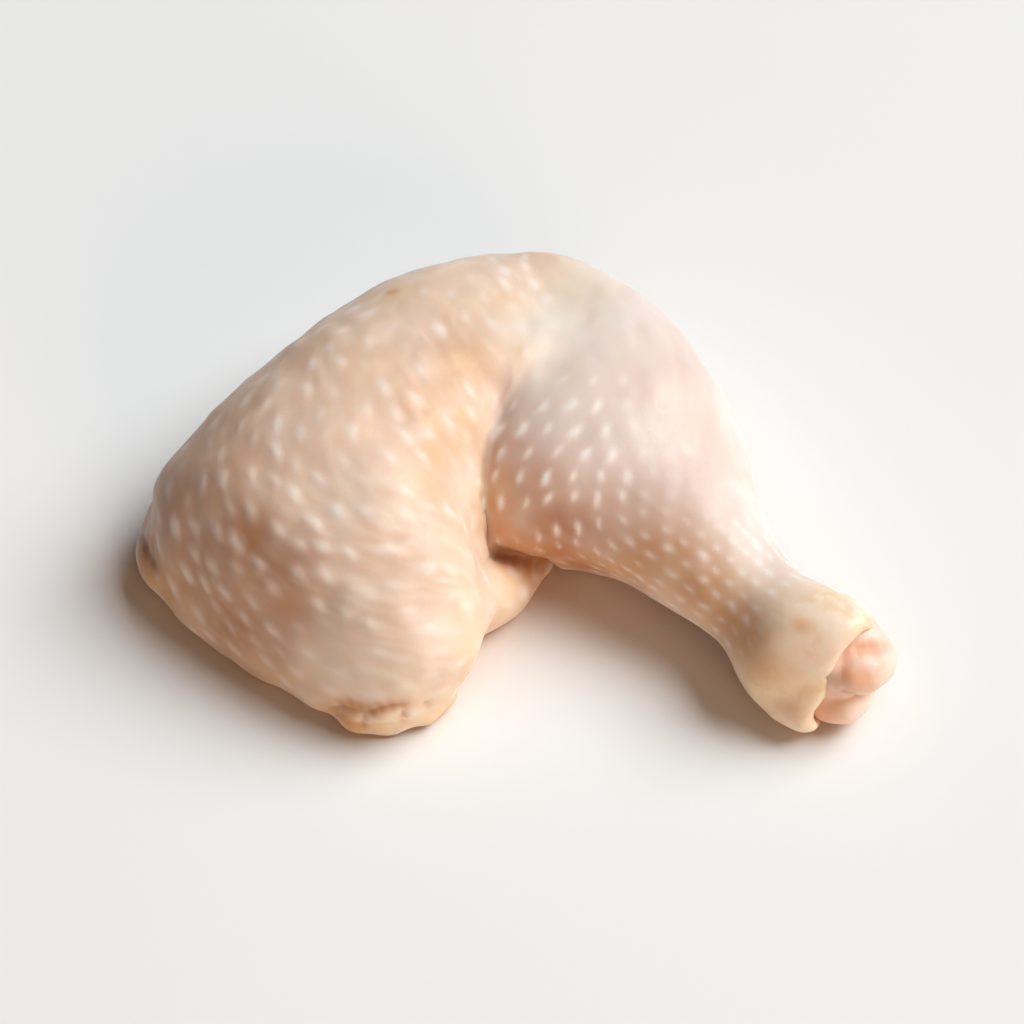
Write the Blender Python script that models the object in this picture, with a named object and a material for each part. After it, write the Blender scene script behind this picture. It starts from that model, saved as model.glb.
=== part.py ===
"""A raw chicken leg with its skin on: the thigh and the drumstick in one piece, bent at the
knee and lying skin side up, with the end of the shank bone showing at the hock.

Sizes are in millimetres, and object_from turns them into metres. X runs from the thigh's
far corner to the hock, Y from the thigh's cut edge to the knee, and Z up from the board.
"""

import math
from collections import namedtuple

import bmesh
import bpy
import numpy as np
from mathutils import Matrix, Vector
from mathutils.bvhtree import BVHTree

MM = 0.001

# One cross-section of a plump body. x and y place its middle and turn is the compass
# direction in which the body runs there, in degrees from +X. inner and outer are its
# half-widths towards the inside and the outside of the bent knee, top is the height of its
# crest, belly the height at which it is widest and foot the height of its underside.
# square is 2 for an elliptical crown and more for a boxier one.
Section = namedtuple("Section", "x y turn inner outer top belly foot square")

# A groove pressed into the skin along a smooth line through the points.
Fold = namedtuple("Fold", "depth width points")

RIGHT_OF_RUN, LEFT_OF_RUN = 1, -1

SKIN_VOXEL = 1.0
SKIN_TRIANGLES = 8600
BONE_VOXEL = 0.7
BONE_TRIANGLES = 1000
BONE_GAP = 0.5

# How many times each body is smoothed, and the skin again once the sleeve is hollowed.
SKIN_ROUNDS, RIM_ROUNDS, BONE_ROUNDS = 8, 2, 3

# A fold's depth at its two ends, as a share of its full depth, and how steeply it grows.
FOLD_END, FOLD_GROWTH = 0.15, 4

# The middle of the finished leg, which is brought to the origin.
MIDDLE_X, MIDDLE_Y = -1.4, -2.2

BOARD_SIDE, BOARD_DEPTH = 400, 50

SKIN_COLOUR, SKIN_ROUGHNESS = (0.80, 0.58, 0.42), 0.45
CARTILAGE_COLOUR, CARTILAGE_ROUGHNESS = (0.85, 0.60, 0.50), 0.4

THIGH = [
    Section(15, 54, -141, 8, 6, 24, 15, 8, 2.0),
    Section(5, 46, -139, 29, 17, 37, 17, -2, 2.1),
    Section(-12, 31, -133, 35, 26, 45, 18, -3, 2.2),
    Section(-26, 13, -125, 31, 31, 49, 18, -3, 2.3),
    Section(-37, -5, -121, 33, 35, 50, 18, -3, 2.3),
    Section(-45, -19, -121, 46, 38.5, 48, 17, -3, 2.2),
    Section(-52, -30, -123, 50, 39.5, 43, 15, -3, 2.1),
    Section(-57.5, -38, -126, 45, 35.5, 34, 13, -3, 2.1),
    Section(-61, -43.3, -126, 36, 29, 22, 9, 0, 2.0),
    Section(-63, -46.2, -126, 22, 18, 12, 6, 2, 2.0),
]

DRUMSTICK = [
    Section(8, 56, -66, 6, 6, 22, 17, 10, 2.0),
    Section(12, 47, -67, 20, 15, 33, 18, 2, 2.0),
    Section(17, 35, -70, 31, 21, 40, 20, -2, 2.1),
    Section(22, 19, -71, 39, 25, 43.5, 20, -3, 2.1),
    Section(27, 5, -69, 44, 26, 44, 20, -3, 2.2),
    Section(31, -4, -62, 40, 26, 41.7, 19, -2, 2.1),
    Section(37, -14, -55, 24, 23.5, 37.8, 19, 0, 2.0),
    Section(46, -25, -49, 17, 16.3, 33, 18, 3, 2.0),
    Section(57, -37, -48, 13.5, 11, 28, 15, 5, 2.0),
    Section(65, -46, -48, 17, 13, 31, 12, -1, 2.1),
    Section(71, -50, -50, 17, 13.5, 31, 9, -1.5, 2.2),
    Section(77, -54.5, -57, 12, 12.2, 28.5, 9, -1, 2.2),
]

# Fills the outer side of the bend, where the skin is drawn over the knee.
KNEE = [
    Section(-20, 47, 6, 6, 8, 27, 18, 8, 2.0),
    Section(-9, 48, -7, 14, 12.5, 34.5, 18, -1, 2.0),
    Section(6, 44, -23, 17, 18, 37, 18, -2, 2.0),
    Section(19, 36, -41, 16, 17, 38, 19, -2, 2.0),
    Section(25, 25, -58, 12, 18.5, 37, 19, 0, 2.0),
    Section(30, 10, -67, 8, 18.5, 34, 19, 4, 2.0),
]

# The web of skin that runs from the thigh's flank in under the drumstick.
SKIN_FLAP = [
    Section(-24, -38, 20, 12, 14, 22, 8, -2, 2.0),
    Section(-15, -34, 28, 14, 9, 21, 8, -2, 2.0),
    Section(-5, -27, 42, 13, 9, 18, 7, -2, 2.0),
    Section(3, -20, 42, 9, 5.5, 11, 5, -1, 2.0),
    Section(10, -15, 36, 4, 2, 4, 2, 0, 2.0),
]

# The skin at the left end of the cut edge, rolled under into a lip.
TUCK_ROLL = [
    Section(-71, 7, -130, 3, 2.5, 22, 16, 10, 2.0),
    Section(-78.5, -1, -120, 3, 2.5, 20, 13, 8, 2.0),
    Section(-83.5, -7, -108, 3, 2.5, 17.5, 11, 5, 2.0),
    Section(-86.5, -13, -95, 3, 2.6, 14.5, 9, 3, 2.0),
    Section(-86, -19, -70, 3.5, 3.2, 11, 6, 1, 2.0),
    Section(-82.5, -23, -45, 4, 3.4, 8.5, 4, 0, 2.0),
    Section(-77, -26, -35, 4, 3, 6.5, 3, 0, 2.0),
    Section(-69, -31, -30, 4, 3, 6, 3, 0, 2.0),
]

# The lobes of fat along the bottom of the cut edge: x, y, z and half-sizes.
FAT_LOBES = [
    (-34.5, -59.8, 4.0, 5.6, 5.0, 5.0),
    (-28.0, -61.3, 4.0, 6.0, 5.0, 5.5),
    (-20.5, -58.3, 4.0, 5.0, 5.2, 5.0),
    (-17.0, -53.0, 5.0, 5.0, 6.0, 6.0),
]

# The pad of skin under the hock, which the end of the drumstick rests on.
HOCK_PAD = (65.5, -55.0, 8.0, 10.0, 9.5, 9.0)

FOLDS = [
    # Where the thigh's skin laps over the drumstick, up to where it fades out at the knee.
    Fold(1.5, 2.0, [(-6.5, -22, 22), (-7, -16, 31), (-6, -8, 36), (-1.5, 4, 40), (2, 12, 41),
                    (4, 18, 41)]),
    # The slot behind the rolled lip at the left.
    Fold(3.2, 1.4, [(-82, -8, 18), (-83.5, -13, 15), (-82.5, -17.5, 12), (-79, -21, 10)]),
    # The line along which the fat comes out from under the skin.
    Fold(2.4, 1.5, [(-42, -59, 6), (-36, -60.5, 8), (-32, -61.5, 8.5), (-27, -61, 9.5),
                    (-22, -59, 9.5), (-18, -56.5, 9)]),
]

SHANK = [
    Section(20, 27, -71, 7, 7, 27, 20, 13, 2.0),
    Section(24, 15, -71, 5, 5, 25, 20, 15, 2.0),
    Section(31, -5, -66, 4, 4, 22, 18, 14, 2.0),
    Section(44, -23, -52, 4, 4, 20, 16, 12, 2.0),
    Section(60, -40, -48, 4.5, 4.5, 19, 14.5, 10, 2.0),
    Section(70, -49, -46, 6.5, 6.5, 21, 14, 7, 2.0),
]

# The shank's hidden head, then the two knuckles of the joint at its end, the saddle between
# them and the ridge above: x, y, z and half-sizes along the shank, across it and upwards.
BONE_END_TURN = -52
BONE_ENDS = [
    (20.0, 27.0, 20.0, 8.0, 8.0, 8.0),
    (76.3, -53.6, 17.8, 9.0, 8.8, 5.8),
    (74.0, -54.2, 7.2, 8.4, 9.0, 5.8),
    (73.0, -51.4, 13.0, 8.5, 9.4, 8.0),
    (77.0, -49.2, 20.8, 7.0, 5.2, 4.4),
]

# The hollow of the skin around the knuckles, widening to the rim and cutting its top back.
SLEEVE_HOLLOW = [
    Section(70, -48, -46, 9, 8, 24, 12, 4, 2.2),
    Section(74, -52, -52, 10.2, 9.2, 27.5, 12, 2, 2.3),
    Section(78, -56, -57, 11, 9.6, 33, 12, 1.2, 2.3),
    Section(84, -65, -57, 11, 9.6, 42, 12, 1.2, 2.3),
]


def through(values, at):
    """A smooth curve through the values, read at a share of the way from 0 to 1."""
    last = len(values) - 1
    place = min(max(at, 0.0), 1.0) * last
    i = min(int(place), last - 1)
    t = place - i
    before, a = values[max(i - 1, 0)], values[i]
    b, after = values[i + 1], values[min(i + 2, last)]
    return 0.5 * (2 * a + (b - before) * t
                  + (2 * before - 5 * a + 4 * b - after) * t ** 2
                  + (3 * a - before - 3 * b + after) * t ** 3)


def section_ring(mesh, section, outer_hand, sides, grow):
    """The vertices of one cross-section, square to the way the body runs."""
    turn = math.radians(section.turn)
    across = Vector((math.sin(turn), -math.cos(turn), 0)) * outer_hand
    ring = []
    for step in range(sides):
        angle = 2 * math.pi * step / sides
        c, s = math.cos(angle), math.sin(angle)
        power = 2 / section.square if s > 0 else 1.0
        wide = section.outer if c > 0 else section.inner
        rise = section.top - section.belly if s > 0 else section.belly - section.foot
        reach = math.copysign(abs(c) ** power, c) * (wide + grow)
        height = math.copysign(abs(s) ** power, s) * (rise + grow)
        ring.append(mesh.verts.new(Vector((section.x, section.y, section.belly + height))
                                   + across * reach))
    return ring


def loft(mesh, sections, outer_hand, grow=0.0, rings=40, sides=40):
    """A closed body with its skin stretched smoothly over the sections."""
    columns = np.array(sections, float)
    made = []
    for i in range(rings):
        at = i / (rings - 1)
        section = Section(*(through(columns[:, k], at) for k in range(columns.shape[1])))
        made.append(section_ring(mesh, section, outer_hand, sides, grow))
    for one, other in zip(made, made[1:]):
        for i in range(sides):
            j = (i + 1) % sides
            mesh.faces.new((one[i], one[j], other[j], other[i]))
    mesh.faces.new(made[0][::-1])
    mesh.faces.new(made[-1])


def ball(mesh, x, y, z, along, across, up, turn=0.0):
    """An egg-shaped body."""
    place = Matrix.Translation((x, y, z)) @ Matrix.Rotation(math.radians(turn), 4, "Z")
    place = place @ Matrix.Diagonal((along, across, up, 1))
    bmesh.ops.create_uvsphere(mesh, u_segments=32, v_segments=16, radius=1, matrix=place)


def object_from(mesh, name):
    """A Blender object holding the mesh in metres, with every face turned outwards."""
    bmesh.ops.recalc_face_normals(mesh, faces=mesh.faces)
    bmesh.ops.scale(mesh, vec=(MM, MM, MM), verts=mesh.verts)
    data = bpy.data.meshes.new(name)
    mesh.to_mesh(data)
    mesh.free()
    made = bpy.data.objects.new(name, data)
    bpy.context.scene.collection.objects.link(made)
    return made


def keep_result(thing):
    """Replaces the object's mesh by what its modifiers make of it."""
    shapes = thing.data
    graph = bpy.context.evaluated_depsgraph_get()
    thing.data = bpy.data.meshes.new_from_object(thing.evaluated_get(graph))
    thing.modifiers.clear()
    bpy.data.meshes.remove(shapes)


def soften(thing, rounds):
    """Smooths the body's surface and keeps the result."""
    smooth = thing.modifiers.new("soften", "SMOOTH")
    smooth.factor = 0.5
    smooth.iterations = rounds
    keep_result(thing)


def fuse(thing, voxel, rounds):
    """Makes one smooth closed body of the shapes in the object."""
    remesh = thing.modifiers.new("one body", "REMESH")
    remesh.mode = "VOXEL"
    remesh.voxel_size = voxel * MM
    soften(thing, rounds)


def distance_along(spots, line):
    """How far each spot is from the line, and at what share of its length the nearest is."""
    near = np.full(len(spots), np.inf)
    share = np.zeros(len(spots))
    for i, (a, b) in enumerate(zip(line, line[1:])):
        run = b - a
        t = np.clip((spots - a) @ run / max(run @ run, 1e-9), 0, 1)
        away = np.linalg.norm(spots - (a + t[:, None] * run), axis=1)
        closer = away < near
        near[closer] = away[closer]
        share[closer] = (i + t[closer]) / (len(line) - 1)
    return near, share


def press(thing, fold):
    """Pushes the skin in along the fold, deepest at its middle and fading at its ends."""
    mesh = thing.data
    tree = BVHTree.FromPolygons([v.co / MM for v in mesh.vertices],
                                [tuple(face.vertices) for face in mesh.polygons])
    guide = np.array(fold.points, float)
    steps = np.linspace(0, 1, 6 * len(guide))
    curve = [Vector([through(guide[:, k], at) for k in range(3)]) for at in steps]
    line = np.array([tree.find_nearest(point)[0] for point in curve])
    spots = np.array([v.co for v in mesh.vertices]) / MM
    normals = np.array([v.normal for v in mesh.vertices])
    near, share = distance_along(spots, line)
    fade = np.clip(FOLD_END + FOLD_GROWTH * np.minimum(share, 1 - share), 0, 1)
    push = fold.depth * fade * np.exp(-(near / fold.width) ** 2)
    moved = (spots - normals * push[:, None]) * MM
    mesh.vertices.foreach_set("co", moved.ravel())
    mesh.update()


def thin_out(thing, triangles):
    """Leaves about this many triangles on the body."""
    decimate = thing.modifiers.new("fewer triangles", "DECIMATE")
    now = sum(len(face.vertices) - 2 for face in thing.data.polygons)
    decimate.ratio = min(1.0, triangles / now)
    decimate.use_collapse_triangulate = True


def cut(thing, cutter):
    """Takes the cutter's shape out of the body."""
    cutter.hide_render = True
    cutter.display_type = "WIRE"
    boolean = thing.modifiers.new("cut by " + cutter.name, "BOOLEAN")
    boolean.operation = "DIFFERENCE"
    boolean.solver = "EXACT"
    boolean.object = cutter


def paint(thing, name, colour, roughness):
    """Gives the body a plain material and smooth shading."""
    material = bpy.data.materials.new(name)
    material.use_nodes = True
    shader = material.node_tree.nodes["Principled BSDF"]
    shader.inputs["Base Color"].default_value = (*colour, 1)
    shader.inputs["Roughness"].default_value = roughness
    material.diffuse_color = (*colour, 1)
    thing.data.materials.append(material)
    thing.data.shade_smooth()


def make_bone(name, grow=0.0):
    """The shank bone with the knuckles of its joint."""
    mesh = bmesh.new()
    loft(mesh, SHANK, LEFT_OF_RUN, grow)
    for x, y, z, along, across, up in BONE_ENDS:
        ball(mesh, x, y, z, along + grow, across + grow, up + grow, BONE_END_TURN)
    bone = object_from(mesh, name)
    fuse(bone, BONE_VOXEL, BONE_ROUNDS)
    thin_out(bone, BONE_TRIANGLES)
    return bone


def make_hollow():
    """The space inside the open end of the skin."""
    mesh = bmesh.new()
    loft(mesh, SLEEVE_HOLLOW, LEFT_OF_RUN, rings=10, sides=28)
    return object_from(mesh, "sleeve_hollow")


def make_leg():
    """The thigh and the drumstick in their skin."""
    mesh = bmesh.new()
    loft(mesh, THIGH, RIGHT_OF_RUN)
    loft(mesh, DRUMSTICK, LEFT_OF_RUN)
    loft(mesh, KNEE, LEFT_OF_RUN)
    loft(mesh, SKIN_FLAP, RIGHT_OF_RUN)
    loft(mesh, TUCK_ROLL, RIGHT_OF_RUN)
    for lobe in FAT_LOBES:
        ball(mesh, *lobe)
    ball(mesh, *HOCK_PAD)
    leg = object_from(mesh, "leg")
    fuse(leg, SKIN_VOXEL, SKIN_ROUNDS)
    cut(leg, make_hollow())
    fuse(leg, SKIN_VOXEL, RIM_ROUNDS)
    for fold in FOLDS:
        press(leg, fold)
    soften(leg, 1)
    thin_out(leg, SKIN_TRIANGLES)
    return leg


def make_board():
    """Everything below the surface that the leg lies on."""
    mesh = bmesh.new()
    place = Matrix.Translation((0, 0, -BOARD_DEPTH / 2))
    place = place @ Matrix.Diagonal((BOARD_SIDE, BOARD_SIDE, BOARD_DEPTH, 1))
    bmesh.ops.create_cube(mesh, size=1, matrix=place)
    return object_from(mesh, "below_the_board")


def move_all(x, y):
    """Shifts every shape, the cutting ones too."""
    for thing in bpy.data.objects:
        thing.data.transform(Matrix.Translation((x * MM, y * MM, 0)))


def main():
    for old in list(bpy.data.objects):
        bpy.data.objects.remove(old)
    leg = make_leg()
    bone = make_bone("shank_bone")
    board = make_board()
    cut(leg, make_bone("room_for_bone", BONE_GAP))
    cut(leg, board)
    cut(bone, board)
    move_all(-MIDDLE_X, -MIDDLE_Y)
    paint(leg, "skin", SKIN_COLOUR, SKIN_ROUGHNESS)
    paint(bone, "cartilage", CARTILAGE_COLOUR, CARTILAGE_ROUGHNESS)


main()
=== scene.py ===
"""The looks of a raw chicken leg lying skin side up: the goose-fleshed skin of its thigh and
drumstick, the fat and folds at its edges, and the knuckles of the shank at the hock.

Surfaces are worked on in millimetres and put back into metres when they are kept. Many
places are given as (across, down) in the 1024 by 1024 picture that the camera takes, and
are found on the skin by looking along that line of sight.
"""

import math
import random

import bmesh
import bpy
import numpy as np
from mathutils import Matrix, Vector
from mathutils.bvhtree import BVHTree
from mathutils.kdtree import KDTree


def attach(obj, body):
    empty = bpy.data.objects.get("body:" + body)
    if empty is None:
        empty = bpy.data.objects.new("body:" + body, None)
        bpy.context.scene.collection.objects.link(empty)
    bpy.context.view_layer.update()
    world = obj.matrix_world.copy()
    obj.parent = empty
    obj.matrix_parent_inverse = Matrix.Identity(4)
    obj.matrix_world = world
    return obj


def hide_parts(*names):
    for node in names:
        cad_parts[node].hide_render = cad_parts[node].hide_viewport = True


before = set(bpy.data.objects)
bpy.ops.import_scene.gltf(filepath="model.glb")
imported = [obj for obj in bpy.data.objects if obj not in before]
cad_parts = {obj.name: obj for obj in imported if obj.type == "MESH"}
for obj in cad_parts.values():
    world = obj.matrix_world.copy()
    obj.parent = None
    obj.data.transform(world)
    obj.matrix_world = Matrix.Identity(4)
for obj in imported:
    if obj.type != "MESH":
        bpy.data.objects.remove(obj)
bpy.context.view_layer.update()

MM = 0.001

# The camera, in millimetres and degrees.
PICTURE = 1024
LENS, SENSOR = 85, 36
LOOK_DOWN = math.radians(54)
CAMERA_AWAY = 588
AIM = Vector((1.4, 2.2, 0))
RIGHT = Vector((1, 0, 0))
UP = Vector((0, math.sin(LOOK_DOWN), math.cos(LOOK_DOWN)))
AHEAD = Vector((0, math.cos(LOOK_DOWN), -math.sin(LOOK_DOWN)))
CAMERA_PLACE = AIM - AHEAD * CAMERA_AWAY

# How finely the skin and the knuckles are meshed.
SKIN_MESH, KNUCKLE_MESH = 0.74, 0.5

# The line where the thigh's skin laps over the drumstick, from the notch up to the knee in
# the picture, and how that line goes on past its ends in mm.
LAP = [(488, 550), (486, 532), (483, 510), (483, 487), (484, 463), (488, 435), (497, 407),
       (513, 383), (532, 362), (548, 338), (558, 312), (566, 290), (574, 268)]
BEFORE_LAP, BEYOND_LAP = [(-7, -60, 0), (-6, -30, 0)], [(26, 58, 20), (30, 75, 0)]

# The line through the drumstick that its follicles go round.
DRUMSTICK_LINE = [(24, 62, 22), (25, 38, 21), (27, 18, 20), (31, 2, 20), (39, -12, 19),
                  (49, -24, 18), (60, -36, 16), (68, -45, 14)]

# How far apart the follicles are: at the knee, at the neck above the hock, and on the thigh.
# Shares of the gap say how far apart those of one ring are, how far one slips aside, and how
# close two may come.
KNEE_GAP, NECK_GAP, THIGH_GAP = 6.9, 4.3, 5.6
RING_SHARE, SLIP_SHARE, CLOSE_SHARE = 0.94, 0.07, 0.74

# Where the shank ends, in the middle of the hock, and which way it points.
SHANK_END = Vector((77.7, -51.4, 14.3))
SHANK_TURN = math.radians(-52)
SHANK_RUN = Vector((math.cos(SHANK_TURN), math.sin(SHANK_TURN), 0))

# Which way the thigh's skin is drawn: places in the picture with the slant there, in
# degrees up from the picture's left-to-right.
GRAIN = [
    (376, 322, 62), (405, 308, 82), (447, 320, 98), (437, 342, 108), (475, 372, 116),
    (443, 400, 126), (392, 376, 112), (403, 355, 100), (358, 410, 88), (325, 440, 92),
    (460, 430, 140), (440, 455, 150), (390, 499, 150), (425, 505, 172), (410, 549, 176),
    (423, 571, 178), (406, 620, 184), (427, 643, 186), (382, 647, 166), (259, 491, 122),
    (187, 503, 92), (202, 539, 128), (187, 560, 106), (200, 590, 112), (240, 582, 142),
    (261, 629, 138), (320, 506, 140), (289, 609, 142), (304, 570, 154), (320, 551, 160),
    (344, 617, 165), (293, 655, 140), (460, 560, 178), (455, 640, 182), (250, 420, 80),
    (560, 280, 80),
]

# Soft-edged areas of the skin: places in the picture with a radius in mm and a strength.
# First where mauve flesh shows through, then creamy skin, white fat, yellow fat and the amber
# of thin skin in the folds; mauve and amber also paint shade, cream and fat paint light.
# The mauve also paints shade on the drumstick's low edge by the slit and on the thigh's crown.
MAUVE_AND_SHADE = [
    (242, 541, 9, 0.9), (262, 574, 9, 0.75), (285, 603, 8, 0.55), (225, 480, 11, 0.5),
    (318, 590, 5, 0.25), (240, 410, 9, 0.35), (620, 540, 14, 0.3), (560, 520, 12, 0.4),
    (545, 470, 9, 0.35), (510, 515, 7, 0.4), (175, 510, 12, 0.6), (200, 570, 12, 0.75),
    (235, 620, 12, 0.9), (268, 645, 8, 0.6), (205, 440, 12, 0.4), (300, 360, 9, 0.2),
    (555, 535, 10, 0.75), (590, 560, 8, 0.8), (535, 548, 8, 1.05), (555, 554, 9, 1.35),
    (582, 572, 9, 1.35), (560, 528, 9, 1.15), (505, 530, 8, 0.5), (425, 405, 11, 0.24),
    (462, 372, 10, 0.32), (430, 440, 10, 0.14), (400, 345, 14, 0.14), (440, 330, 12, 0.14),
    (320, 390, 12, 0.12), (620, 578, 8, 0.8), (592, 570, 6, 0.9), (255, 590, 9, 0.4),
    (285, 575, 9, 0.65), (540, 490, 9, 0.65), (620, 575, 8, 0.95), (600, 545, 9, 0.6),
]
# The cream also paints light above the ruffle, in the knee's hollow and under the hock's
# sleeve.
CREAM_AND_LIGHT = [
    (350, 480, 11, 0.4), (340, 520, 9, 0.4), (330, 645, 9, 0.75), (340, 670, 8, 0.8),
    (430, 640, 9, 0.7), (468, 480, 6, 0.4), (466, 520, 7, 0.3), (466, 560, 8, 0.3),
    (462, 610, 9, 0.3), (440, 670, 8, 0.5), (375, 675, 9, 0.8), (505, 592, 8, 0.6),
    (555, 322, 10, 0.95), (545, 350, 9, 0.95), (582, 330, 9, 0.5), (580, 370, 8, 0.5),
    (532, 376, 7, 0.8), (510, 372, 6, 0.7), (500, 392, 6, 0.5), (345, 600, 9, 0.45),
    (380, 700, 7, 0.8), (385, 728, 6, 0.5), (813, 724, 6, 1.0), (806, 712, 6, 0.7),
    (824, 700, 5, 0.8), (348, 650, 9, 0.6), (388, 690, 10, 0.95), (370, 665, 10, 0.8),
    (335, 690, 8, 0.6), (310, 640, 8, 0.3), (520, 340, 9, 0.9), (540, 385, 7, 0.6),
    (798, 650, 8, 0.8), (822, 640, 5, 0.8), (820, 726, 6, 1.0), (790, 712, 7, 0.6),
    (383, 715, 5, 1.0), (393, 716, 3, 0.8), (414, 712, 4, 1.0), (300, 560, 6, 0.3),
    (345, 570, 7, 0.3), (620, 345, 12, 0.4), (660, 380, 10, 0.2), (400, 330, 10, 0.25),
    (310, 440, 9, 0.2), (575, 290, 7, 0.3), (822, 610, 5, 0.4), (845, 640, 4, 0.4),
    (780, 596, 8, 0.6), (798, 665, 4, 0.6), (820, 655, 5, 0.7), (822, 635, 5, 0.6),
]
# The fat on the hock's underside also paints light there.
FAT_AND_LIGHT = [
    (383, 722, 5, 1.0), (413, 714, 6, 1.0), (440, 698, 7, 0.8), (360, 724, 5, 0.5),
    (350, 690, 8, 0.6), (395, 690, 8, 0.7), (480, 640, 8, 0.5), (786, 694, 10, 1.0),
    (775, 682, 8, 0.8), (800, 650, 8, 0.5), (804, 714, 8, 1.0), (820, 696, 6, 1.0),
    (772, 672, 7, 0.6), (330, 665, 8, 0.4), (590, 285, 8, 0.35),
]
YOLK = [
    (440, 705, 8, 0.6), (400, 700, 8, 0.4), (468, 665, 9, 0.4), (165, 585, 7, 1.1),
    (150, 570, 6, 0.9), (180, 600, 6, 0.7), (800, 622, 3, 0.6), (812, 683, 4, 0.7),
    (796, 690, 5, 0.5), (780, 640, 8, 0.4), (760, 610, 8, 0.3), (820, 600, 8, 0.5),
    (395, 293, 5, 0.6), (485, 350, 6, 0.5), (434, 422, 3.2, 0.7), (463, 415, 3.2, 0.8),
    (438, 452, 4, 0.6), (470, 375, 5, 0.4), (420, 480, 6, 0.4), (455, 440, 4, 0.3),
    (330, 700, 8, 0.4), (270, 670, 8, 0.35), (755, 662, 8, 0.9), (495, 490, 5, 0.7),
    (690, 552, 8, 0.4), (722, 592, 8, 0.9), (736, 632, 9, 1.1), (642, 572, 8, 0.9),
    (675, 580, 8, 0.9), (705, 605, 8, 1.0), (620, 578, 7, 0.7), (772, 604, 9, 0.5),
    (383, 728, 3.2, 1.4), (790, 705, 8, 0.5), (350, 728, 4, 1.0), (383, 724, 5, 0.8),
    (362, 722, 4, 0.9), (410, 722, 4, 0.5), (812, 722, 5, 0.6), (500, 300, 9, 0.4),
    (520, 360, 6, 0.5), (585, 295, 10, 0.3), (462, 366, 7, 0.6), (425, 402, 5, 0.5),
    (468, 600, 9, 0.3), (466, 540, 8, 0.3), (515, 585, 7, 0.7), (500, 606, 7, 0.5),
    (812, 700, 5, 0.5), (380, 360, 10, 0.25),
]
# The amber also paints shade by the slit, under the drumstick, in the folds and on the thigh's
# crown.
AMBER_AND_SHADE = [
    (650, 547, 6, 0.75), (685, 552, 6, 0.7), (710, 556, 5, 0.5), (700, 590, 8, 0.75),
    (725, 620, 8, 0.7), (640, 565, 7, 0.6), (380, 425, 11, 0.3), (435, 395, 8, 0.3),
    (230, 620, 13, 0.55), (285, 610, 9, 0.45), (190, 580, 10, 0.4), (260, 560, 8, 0.3),
    (500, 530, 5, 0.8), (497, 505, 5, 0.8), (500, 475, 5, 0.6), (505, 440, 5, 0.45),
    (515, 545, 6, 0.9), (540, 550, 7, 0.8), (570, 560, 8, 0.6), (745, 640, 7, 0.5),
    (760, 670, 6, 0.4), (392, 292, 1.6, 1.0), (347, 720, 5, 1.1), (336, 712, 5, 0.9),
    (353, 722, 5, 1.0), (340, 716, 4, 1.0), (458, 376, 9, 0.25), (418, 402, 8, 0.35),
    (143, 538, 3, 0.4), (150, 556, 5, 1.2), (158, 572, 5, 1.0), (535, 566, 5, 0.9),
    (283, 575, 6, 0.4), (255, 530, 5, 0.5), (147, 552, 4, 1.1), (152, 575, 5, 0.8),
    (141, 530, 2, 0.5), (165, 592, 5, 0.7), (350, 400, 8, 0.12), (600, 520, 9, 0.3),
    (824, 714, 4, 1.0), (836, 690, 3, 0.5), (812, 683, 2, 0.5), (798, 627, 2.0, 0.7),
    (794, 692, 2.2, 0.4), (530, 570, 4, 0.8), (546, 570, 4, 0.9), (505, 562, 4, 0.6),
    (464, 366, 8, 0.22), (545, 545, 8, 0.5), (580, 562, 7, 0.7), (540, 500, 9, 0.3),
    (420, 440, 8, 0.25), (470, 330, 8, 0.2), (342, 706, 2.4, 1.2), (351, 706, 2.4, 1.3),
    (361, 708, 2.4, 1.3), (371, 709, 2.2, 1.3), (381, 706, 2.0, 1.2), (392, 704, 2.0, 1.1),
    (402, 703, 2.0, 0.9), (362, 722, 1.8, 0.6), (403, 716, 1.8, 0.6), (352, 714, 3, 0.8),
    (424, 705, 2, 0.5), (783, 706, 2.6, 0.45), (801, 690, 1.8, 0.4), (160, 588, 4, 0.6),
]

# Where the slit under the drumstick lies in shade.
SLIT = [
    (498, 553, 2.2, 0.8), (508, 557, 2.6, 0.9), (520, 561, 3, 1.0), (533, 565, 3.2, 1.0),
    (545, 569, 3, 0.9), (554, 571, 2.4, 0.7),
]

# Folds that the solid draws too sharply: the tuck, the ruffle, the lip above the notch, the
# flank beside it and the crease up to the knee.
ROUNDED = [
    (148, 500, 6, 1.0), (148, 518, 6, 1.0), (141, 515, 5, 1.0), (144, 530, 5, 1.0),
    (150, 550, 4, 1.0), (156, 565, 4, 1.0), (164, 582, 4, 0.9), (340, 708, 4, 0.8),
    (355, 711, 5, 1.0), (372, 714, 5, 1.0), (392, 712, 5, 0.9), (410, 708, 4, 0.9),
    (428, 704, 5, 1.0), (443, 696, 5, 0.8), (466, 515, 2.5, 0.9), (471, 535, 2.5, 0.9),
    (476, 553, 2.5, 0.9), (480, 572, 3.5, 1.0), (484, 592, 6, 1.0), (487, 612, 7, 1.0),
    (482, 576, 4.5, 1.0), (510, 388, 4, 0.8), (530, 364, 7, 1.0), (545, 344, 9, 1.0),
    (558, 316, 9, 1.0), (566, 290, 7, 1.0),
]

# Lobes that fill hollows of the solid: the middle, the turn and tilt, half the length, width
# and height, and how square the lobe is.
LOBES = [
    # the tissue that stops up the sleeve round the joint to just behind its rim
    (SHANK_END - SHANK_RUN * 7.1 + Vector((0, 0, 0.9)), SHANK_TURN, -0.045,
     (6.8, 10.9, 13.4), 4),
    # the fat in the tuck
    (Vector((-83.6, -18.6, 10.0)), math.radians(-69), 0.0, (9.5, 3.0, 4.6), 2),
    # the roll along the ruffle
    (Vector((-29.5, -60.6, 9.2)), math.radians(-10), -0.10, (9.5, 2.2, 2.8), 2),
    # the thigh's flank beside the notch
    (Vector((-6.5, -34.0, 16.5)), 0.0, 0.0, (5.0, 8.0, 8.5), 2),
]
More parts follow.
